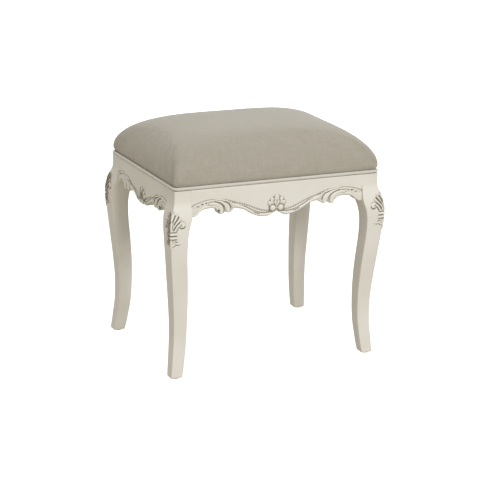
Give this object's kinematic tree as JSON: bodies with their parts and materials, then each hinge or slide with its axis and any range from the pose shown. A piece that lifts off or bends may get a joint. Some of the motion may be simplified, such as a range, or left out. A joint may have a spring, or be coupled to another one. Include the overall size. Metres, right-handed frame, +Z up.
{
  "type": "upholstered dressing stool",
  "caption": "Cabriole-leg dressing stool with scalloped, carved rails in cream paint and a domed linen seat edged with a welt.",
  "frame": {"origin": "on the floor, below the middle of the seat: bottom centre of the bounding box", "axes": "+X to the right along the wide front, +Y from front to back, +Z up"},
  "size_m": [0.495, 0.378, 0.5027],
  "materials": {
    "painted_wood": "satin",
    "bare_wood": "matte",
    "plywood": "matte",
    "linen": "matte",
    "welt_linen": "matte",
    "foam": "matte",
    "dust_cloth": "matte",
    "steel": "satin",
    "glide": "satin"
  },
  "bodies": {
    "root": {"leg_front_left": "painted_wood", "leg_front_right": "painted_wood", "leg_rear_left": "painted_wood", "leg_rear_right": "painted_wood", "rail_front": "painted_wood", "rail_rear": "painted_wood", "rail_left": "painted_wood", "rail_right": "painted_wood", "corner_block_front_left": "bare_wood", "corner_block_front_right": "bare_wood", "corner_block_rear_left": "bare_wood", "corner_block_rear_right": "bare_wood", "rail_screw_a_front_left": "steel", "rail_screw_b_front_left": "steel", "seat_screw_front_left": "steel", "rail_screw_a_front_right": "steel", "rail_screw_b_front_right": "steel", "seat_screw_front_right": "steel", "rail_screw_a_rear_left": "steel", "rail_screw_b_rear_left": "steel", "seat_screw_rear_left": "steel", "rail_screw_a_rear_right": "steel", "rail_screw_b_rear_right": "steel", "seat_screw_rear_right": "steel", "foot_glide_front_left": "glide", "foot_glide_front_right": "glide", "foot_glide_rear_left": "glide", "foot_glide_rear_right": "glide", "dust_sheet": "dust_cloth", "seat_board": "plywood", "seat_foam": "foam", "seat_cover": "linen", "welt": "welt_linen"}
  },
  "joints": []
}
